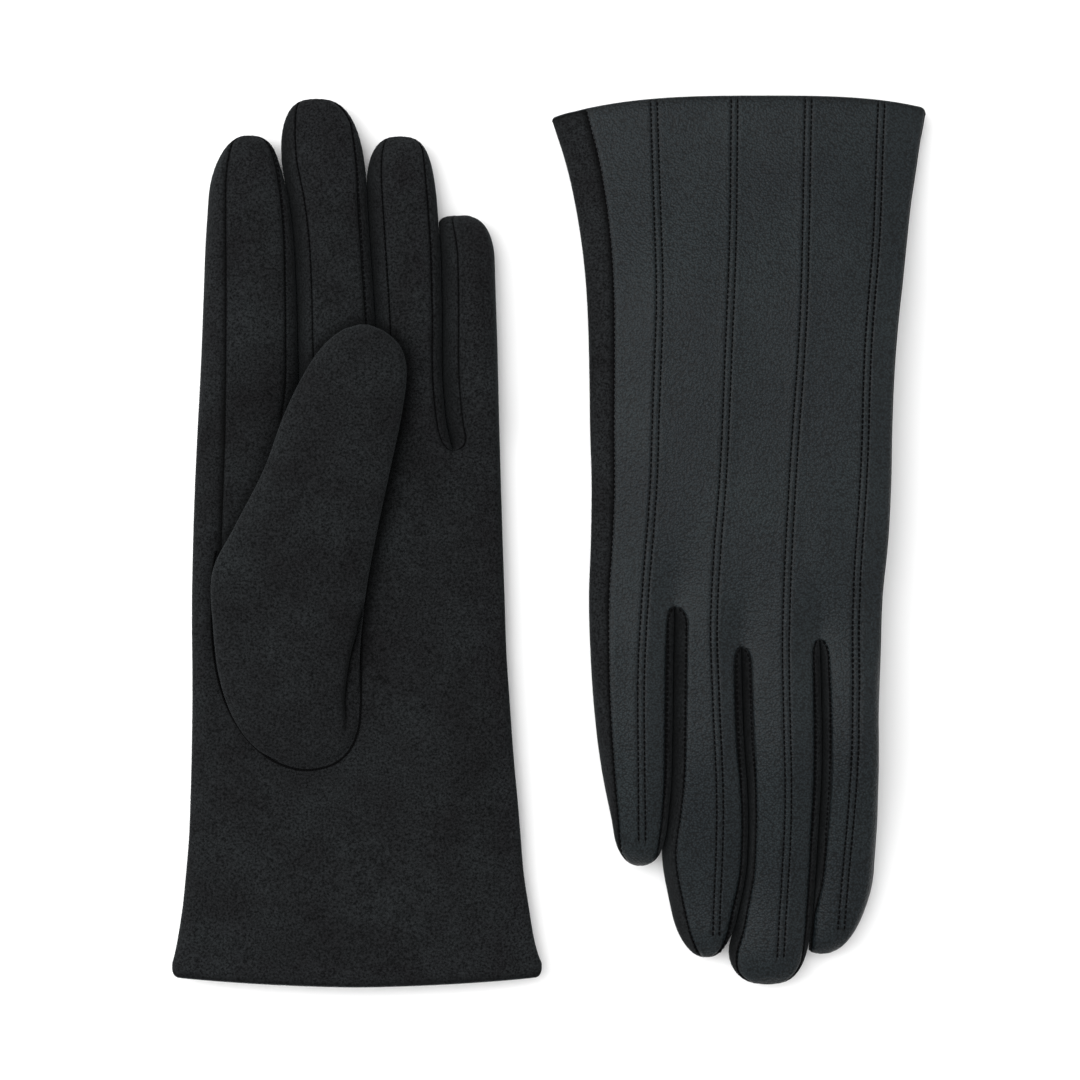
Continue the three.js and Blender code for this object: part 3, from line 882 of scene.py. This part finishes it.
def outline_loop(side, fingers, y, inset):
    """The closed outline of the hand or of one finger at y, drawn in by inset, as glove-frame points."""
    points = []
    for face, sign, order in (("palm", 1, fingers), ("back", -1, fingers[::-1])):
        for f in order:
            part = finger_section(side, f, y, face)
            low, high = part["low"] + part["in_low"], part["high"] - part["in_high"]
            across = np.linspace(low, high, LOOP_POINTS)[::sign]
            points += [(x, sign * sheet_point(side, f, y, face, x)) for x in across[:-1]]
        f, end = (fingers[-1], 1) if sign > 0 else (fingers[0], 0)
        steps = np.linspace(1, -1, LOOP_POINTS)[:-1] * sign
        points += [wall_point(side, f, y, end, tau) for tau in steps]
    low, high = min(p[0] for p in points), max(p[0] for p in points)
    tall = max(abs(p[1]) for p in points)
    centre, half = (low + high) / 2, (high - low) / 2
    narrow, flat = max(0.05, 1 - inset / half), max(0.05, 1 - inset / tall)
    return [(centre + (x - centre) * narrow, y, MIDDLE_Z + z * flat) for x, z in points]


def ring_faces(rings, count):
    """The faces of a tube of rings, each with this many points."""
    faces = []
    for r in range(rings - 1):
        for c in range(count):
            d = (c + 1) % count
            faces.append([r * count + c, r * count + d, (r + 1) * count + d, (r + 1) * count + c])
    return faces


def loft(name, side, loops, material, capped):
    """A tube through closed loops of equal length, facing inward for a lining and closed at its far end."""
    count = len(loops[0])
    points = []
    for loop in loops:
        for x, y, z in loop:
            points.append(place(side, x, y + bow(side, x, y), above_floor(side, y, cuff_roll(y, z))))
    faces = ring_faces(len(loops), count)
    if capped:
        faces.append(list(range((len(loops) - 1) * count, len(loops) * count)))
    if side == "left":
        faces = [face[::-1] for face in faces]
    obj = make_object(name, points, faces, material)
    set_shade(obj, [1.0] * len(points))
    return obj


ALL = [0, 1, 2, 3]
HEM_END = 18.0
LINING_INSET = 2.3
# The turned edge, as (y, how far in).
HEM_ROLLS = [(0.0, 0.0), (-0.3, 0.25), (-0.4, 0.55), (-0.15, 0.85), (0.6, 1.0), (6.0, 1.5), (HEM_END, 1.9),
             (HEM_END + 0.3, 2.3)]
FINGER_LINING_INSET = LINING_INSET - 0.5
FINGER_LINING_START = 12.0   # from the knuckle
FINGER_LINING_END = 4.5      # short of the fingertip


def make_hem(side):
    """The cuff's edge rolls in over itself and is turned up inside as a leather hem."""
    loops = [outline_loop(side, ALL, y, inset) for y, inset in HEM_ROLLS]
    obj = loft(f"{side}_cuff_hem_turned", side, loops, LEATHER, capped=False)
    ride_hand(obj, side)
    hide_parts(f"{side}_cuff_hem")


def make_linings(side):
    rows = list(np.linspace(HEM_END - 1, 100, 14)) + list(np.linspace(106, CROTCH[side][2][0] - 3, 6))
    loops = [outline_loop(side, ALL, y, LINING_INSET) for y in rows]
    obj = loft(f"{side}_hand_lining_cloth", side, loops, LINING, capped=True)
    ride_hand(obj, side)
    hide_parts(f"{side}_hand_lining")
    for f, finger in enumerate(FINGERS):
        knuckle = JOINT[f"{side}_{finger}_bend"]["pos_m"][1] / MM
        start = GLOVE_LENGTH / 2 + (knuckle if side == "left" else -knuckle) + FINGER_LINING_START
        end = TIPS[side][f][1] - FINGER_LINING_END
        loops = [outline_loop(side, [f], y, FINGER_LINING_INSET) for y in np.linspace(start, end, 9)]
        tube = loft(f"{side}_{finger}_lining_cloth", side, loops, LINING, capped=True)
        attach(tube, f"{side}_{finger}")
        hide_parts(f"{side}_{finger}_lining")


# ---------------------------------------------------------------- thumb
THUMB_HEIGHTS = curve([(0, 0.3), (0.5, 1.2), (1, 2.0), (2, 3.1), (4, 4.2), (7, 4.7), (9, 4.6), (10, 4.2),
                       (11, 3.2), (12, 1.0)])
THUMB_MIDDLES = curve([(0, 10.3), (1, 10.6), (2, 11.2), (4, 13.0), (6, 15.2), (8, 15.7), (12, 15.6)])
# The tube of the thumb rolls up out of its flat root along a fold, this far inside the right-hand edge.
THUMB_FOLD = curve([(0, 0.5), (1, 1.0), (1.5, 2.0), (2, 2.9), (3, 3.8), (3.6, 2.8), (4.0, 1.6), (4.6, 0.0)])
FOLD_START, FOLD_FULL, FOLD_END = 1.5, 2.6, 4.6
FLANGE_Z = 11.2              # height of the flat root beside the fold
FLANGE_DROP = 0.9
# painted shade along the fold where the thumb's tube rolls up from its flat root
FOLD_SHADE, FOLD_SHADE_REACH = 0.85, 0.6
THUMB_LOW_Z = 12.0           # the wrinkles are left out below this height
THUMB_WRINKLE = 0.7          # share of the glove's wrinkles
THUMB_COLUMNS = 56
FLANGE_COLUMNS = 12          # of those, the ones on the flat root
THUMB_LINING_INSET = 1.6
THUMB_SKIN_STEPS = np.linspace(0, THUMB_END, 97)
THUMB_LINING_STEPS = np.linspace(4.8, 11.4, 24)


def thumb_round(u):
    """Height of the thumb's section at u across it, as a share of its half height."""
    return (1 - abs(2 * u - 1) ** 2.4) ** (1 / 2.2)


def thumb_point(s, u, upper):
    """A point of the thumb's skin and its shade: u runs from 0 at the left edge to 1 at the right edge."""
    a, b = (np.array([THUMB_SIDES[k][0](s), THUMB_SIDES[k][1](s)]) for k in (0, 1))
    width = max(np.linalg.norm(b - a), 0.1)
    x, y = a + (b - a) * u
    middle, tall = THUMB_MIDDLES(s), THUMB_HEIGHTS(s)
    sign = 1 if upper else -1
    plain = middle + sign * tall * thumb_round(u)
    fold = max(0.0, THUMB_FOLD(s)) if s < FOLD_END else 0.0
    if not upper or fold <= 0:
        return x, y, plain, 1.0
    at = 1 - fold / width
    v = min(u / at, 1.0)
    tube = middle + tall * thumb_round(v)
    beyond = clamp((u - at) / (1 - at))
    flange = FLANGE_Z - FLANGE_DROP * beyond**3
    folded = tube if u < at else flange
    share = smooth((s - FOLD_START) / (FOLD_FULL - FOLD_START))
    shade = 1 - FOLD_SHADE * share * math.exp(-(((u - at) * width / FOLD_SHADE_REACH) ** 2))
    return x, y, mix(plain, folded, share), shade


def thumb_across(s):
    """Positions across the thumb's upper side, close together at its edges and at the fold."""
    even = [0.5 - 0.5 * math.cos(math.pi * i / THUMB_COLUMNS) for i in range(THUMB_COLUMNS + 1)]
    if s >= FOLD_END:
        return even
    width = np.linalg.norm([THUMB_SIDES[1][axis](s) - THUMB_SIDES[0][axis](s) for axis in (0, 1)])
    at = 1 - max(THUMB_FOLD(s), 0.05) / width
    split = THUMB_COLUMNS - FLANGE_COLUMNS
    left = [at * (0.5 - 0.5 * math.cos(math.pi * i / split)) for i in range(split)]
    right = [at + (1 - at) * i / FLANGE_COLUMNS for i in range(FLANGE_COLUMNS + 1)]
    share = smooth((FOLD_END - s) / 0.5)
    return [mix(e, f, share) for e, f in zip(even, left + right)]


def thumb_loop(s, inset):
    """One closed section of the thumb, and the shade of each of its points."""
    across = thumb_across(s)
    loop = [thumb_point(s, u, True) for u in across]
    loop += [thumb_point(s, u, False) for u in across[::-1][1:-1]]
    if inset:
        centre = np.mean([p[:2] for p in loop], axis=0)
        reach = max(np.linalg.norm(np.array(p[:2]) - centre) for p in loop)
        flat = max(0.3, 1 - inset / max(THUMB_HEIGHTS(s), 0.5))
        narrow = max(0.3, 1 - inset / reach)
        middle = THUMB_MIDDLES(s)
        loop = [(centre[0] + (x - centre[0]) * narrow, centre[1] + (y - centre[1]) * narrow,
                 middle + (z - middle) * flat, shade) for x, y, z, shade in loop]
    return loop


def thumb_shell(name, side, material, steps, inset):
    loops = [thumb_loop(s, inset) for s in steps]
    count = len(loops[0])
    points, shades = [], []
    for loop in loops:
        for x, y, z, shade in loop:
            wrinkled = z > THUMB_LOW_Z and not inset
            lift = wrinkle(x * 1.3, y * 1.2, z, "left") * THUMB_WRINKLE if wrinkled else 0.0
            points.append(place(side, x, y, above_floor(side, y, z + lift * smooth((y - 60) / 20))))
            shades.append(shade)
    faces = ring_faces(len(loops), count)
    faces.append(list(range(count))[::-1])
    faces.append(list(range((len(loops) - 1) * count, len(loops) * count)))
    faces = [face[::-1] for face in faces] if side == "right" else faces
    obj = make_object(name, points, faces, material)
    set_shade(obj, shades)
    return obj


def make_thumb(side):
    shell = thumb_shell(f"{side}_thumb_suede", side, SUEDE, THUMB_SKIN_STEPS, 0.0)
    bend_thumb(shell)
    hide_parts(f"{side}_thumb_shell")
    lining = thumb_shell(f"{side}_thumb_lining_cloth", side, LINING, THUMB_LINING_STEPS, THUMB_LINING_INSET)
    bend_thumb(lining)
    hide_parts(f"{side}_thumb_lining")


# ---------------------------------------------------------------- thread
THREAD_SIDES = 6
# A stitch's rings: share of its length, size, and height above the skin, in thread radii.
STITCH_RINGS = ((0.0, 0.4, -0.5), (0.12, 0.85, 0.1), (0.35, 1.0, 0.4), (0.65, 1.0, 0.4), (0.88, 0.85, 0.1),
                (1.0, 0.4, -0.5))
OUTSIDE = {"palm": 60.0, "back": -50.0}    # z well clear of the glove, on each face


class Sewing:
    """Stitches laid on a glove's skin, collected into one mesh for each piece of thread."""

    def __init__(self, side):
        self.side = side
        self.tree = BVHTree.FromPolygons(SKINS[side].placed, SKINS[side].faces)
        self.meshes = {}

    def on_skin(self, x, y, face):
        """The skin's surface under a glove-frame point, looked for from outside that face."""
        y += bow(self.side, x, y)
        start = place(self.side, x, y, OUTSIDE[face])
        target = place(self.side, x, y, MIDDLE_Z)
        hit, normal, _, _ = self.tree.ray_cast(start, (target - start).normalized())
        return hit, normal

    def stitch(self, name, a, b, normal, radius):
        """One stitch: a short rounded thread that rises from the skin and goes back in at both ends."""
        points, faces = self.meshes.setdefault(name, ([], []))
        along = (b - a).normalized()
        across = along.cross(normal).normalized()
        first = len(points)
        for share, size, lift in STITCH_RINGS:
            centre = a.lerp(b, share) + normal * lift * radius
            for k in range(THREAD_SIDES):
                angle = k * math.tau / THREAD_SIDES
                points.append(centre + (across * math.cos(angle) + normal * math.sin(angle)) * radius * size)
        tube = ring_faces(len(STITCH_RINGS), THREAD_SIDES)
        faces += [[first + v for v in face] for face in tube]
        faces.append([first + k for k in range(THREAD_SIDES)][::-1])
        faces.append([first + (len(STITCH_RINGS) - 1) * THREAD_SIDES + k for k in range(THREAD_SIDES)])

    def sew(self, names, path, face, pitch=STITCH_PITCH, length=STITCH_LENGTH, radius=THREAD_RADIUS):
        """Stitches a path onto one face. names are the meshes for the hand's part and the finger's part."""
        path = np.array(path)
        steps = np.linalg.norm(np.diff(path, axis=0), axis=1)
        travel = np.concatenate([[0], np.cumsum(steps)])
        for i in range(int(travel[-1] / pitch)):
            middle = pitch * (i + 0.5)
            ends = []
            for offset in (-length / 2, length / 2):
                x, y = (np.interp(middle + offset, travel, path[:, k]) for k in (0, 1))
                ends.append(self.on_skin(x, y, face))
            if ends[0][0] is None or ends[1][0] is None:
                continue
            if (ends[0][0] - ends[1][0]).length > 2 * length * MM:
                continue
            normal = (ends[0][1] + ends[1][1]).normalized()
            name = names[0] if y < FINGER_ROW else names[1]
            self.stitch(name, ends[0][0], ends[1][0], normal, radius * MM)


def seam_path(side, f, face, end, start, stop):
    """A finger seam as glove-frame points, from one y to another."""
    path = []
    for y in np.linspace(start, stop, max(3, int((stop - start) / 1.2))):
        part = finger_section(side, f, y, face)
        x = part["low"] + part["in_low"] if end == 0 else part["high"] - part["in_high"]
        path.append((x, y))
    return path


def seam_paths(side, f):
    """Every seam of finger f, as (face, path)."""
    found = []
    for face in ("palm", "back"):
        for end in (0, 1):
            first = SEAM_START[face][f][end](side) + 0.3
            last = TIPS[side][f][1] - 1.2
            if last > first + 2:
                found.append((face, seam_path(side, f, face, end, first, last)))
    return found


def row_paths(f):
    """The two lines of finger f's double stitch row."""
    ys = np.linspace(0.5, POINT_ENDS[f], 190)
    return [[(POINT_ROWS[f](y) + offset, y) for y in ys] for offset in (-ROW_HALF, ROW_HALF)]


SEAM_PITCH = 1.4
SEAM_STITCH = 1.05
SEAM_THREAD = 0.19
BACK_SEAM_THREAD = 0.25
THUMB_STITCHING = {"pitch": 0.8, "length": 1.0, "radius": 0.3}
THUMB_SEAM = [
    (-38.1, 117.5), (-39.1, 110.6), (-39.3, 104.3), (-39.1, 93.6), (-37.7, 83.7), (-34.7, 74.8),
    (-29.8, 67.1), (-23.9, 61.8), (-17.4, 58.9), (-11.6, 58.5), (-5.8, 60.2), (-1.7, 63.9),
    (0.6, 69.6), (1.2, 76.3), (1.3, 85.2), (1.5, 95.2), (2.2, 103.1), (3.5, 112.1),
]


def thumb_seam_path():
    """The oval seam that holds the thumb in the palm, as a smooth path."""
    steps = range(len(THUMB_SEAM))
    across, along = (curve([(i, THUMB_SEAM[i][k]) for i in steps]) for k in (0, 1))
    return [(across(s), along(s)) for s in np.linspace(0, len(THUMB_SEAM) - 1, 220)]


def make_thread(side):
    sewing = Sewing(side)
    hand = f"{side}_hand_thread"
    for f, finger in enumerate(FINGERS):
        names = (hand, f"{side}_{finger}_thread")
        for line in row_paths(f):
            sewing.sew(names, line, "back")
        for face, line in seam_paths(side, f):
            radius = BACK_SEAM_THREAD if face == "back" else SEAM_THREAD
            sewing.sew(names, line, face, pitch=SEAM_PITCH, length=SEAM_STITCH, radius=radius)
    oval = f"{side}_thumb_seam_thread"
    sewing.sew((oval, oval), thumb_seam_path(), "palm", **THUMB_STITCHING)
    for name, (points, faces) in sewing.meshes.items():
        obj = make_object(name, points, faces, THREAD)
        finger = name.split("_")[1]
        if finger in FINGERS:
            bend_finger(obj)
        else:
            ride_hand(obj, side)


for glove in SIDES:
    make_hem(glove)
    make_linings(glove)
    make_thumb(glove)
    make_thread(glove)


# ---------------------------------------------------------------- stage, light and camera
def make_floor():
    mesh = bpy.data.meshes.new("floor")
    reach = 4.0
    mesh.from_pydata([(-reach, -reach, 0), (reach, -reach, 0), (reach, reach, 0), (-reach, reach, 0)], [],
                     [[0, 1, 2, 3]])
    floor = bpy.data.objects.new("floor", mesh)
    bpy.context.collection.objects.link(floor)
    material, _, shader = new_material("matt_white_floor")
    shader.inputs["Base Color"].default_value = (0.93, 0.93, 0.93, 1)
    shader.inputs["Roughness"].default_value = 1.0
    shader.inputs["Specular IOR Level"].default_value = 0.0
    mesh.materials.append(material)


def make_light(name, location, size, power):
    lamp = bpy.data.lights.new(name, "AREA")
    lamp.shape = "RECTANGLE"
    lamp.size, lamp.size_y = size
    lamp.energy = power
    obj = bpy.data.objects.new(name, lamp)
    obj.location = location
    obj.rotation_euler = (-Vector(location)).to_track_quat("-Z", "Y").to_euler()
    bpy.context.collection.objects.link(obj)


def make_lights():
    make_light("softbox_above", (-0.45, 0.35, 1.4), (1.3, 1.3), 18.0)
    make_light("softbox_left", (-1.3, 0.2, 0.8), (0.9, 1.4), 13.0)
    make_light("softbox_right", (1.3, 0.0, 0.9), (1.0, 1.5), 5.0)
    world = bpy.data.worlds.new("white_studio")
    world.use_nodes = True
    background = world.node_tree.nodes["Background"]
    background.inputs["Color"].default_value = (1, 1, 1, 1)
    background.inputs["Strength"].default_value = 0.7
    bpy.context.scene.world = world


VIEW_WIDTH = 292.881         # what the picture takes in across, at the gloves
VIEW_MIDDLE = (-2.3, 0.4)    # and what it is centred on


def make_camera():
    """Looks straight down from 0.81 m above the gloves, with a long lens."""
    data = bpy.data.cameras.new("camera")
    data.sensor_width = 36.0
    data.lens = 100.0
    data.clip_end = 20.0
    camera = bpy.data.objects.new("camera", data)
    distance = VIEW_WIDTH * data.lens / data.sensor_width
    camera.location = Vector((*VIEW_MIDDLE, distance + MIDDLE_Z)) * MM
    bpy.context.collection.objects.link(camera)
    bpy.context.scene.camera = camera


make_floor()
make_lights()
make_camera()
bpy.context.scene.view_settings.view_transform = "Standard"
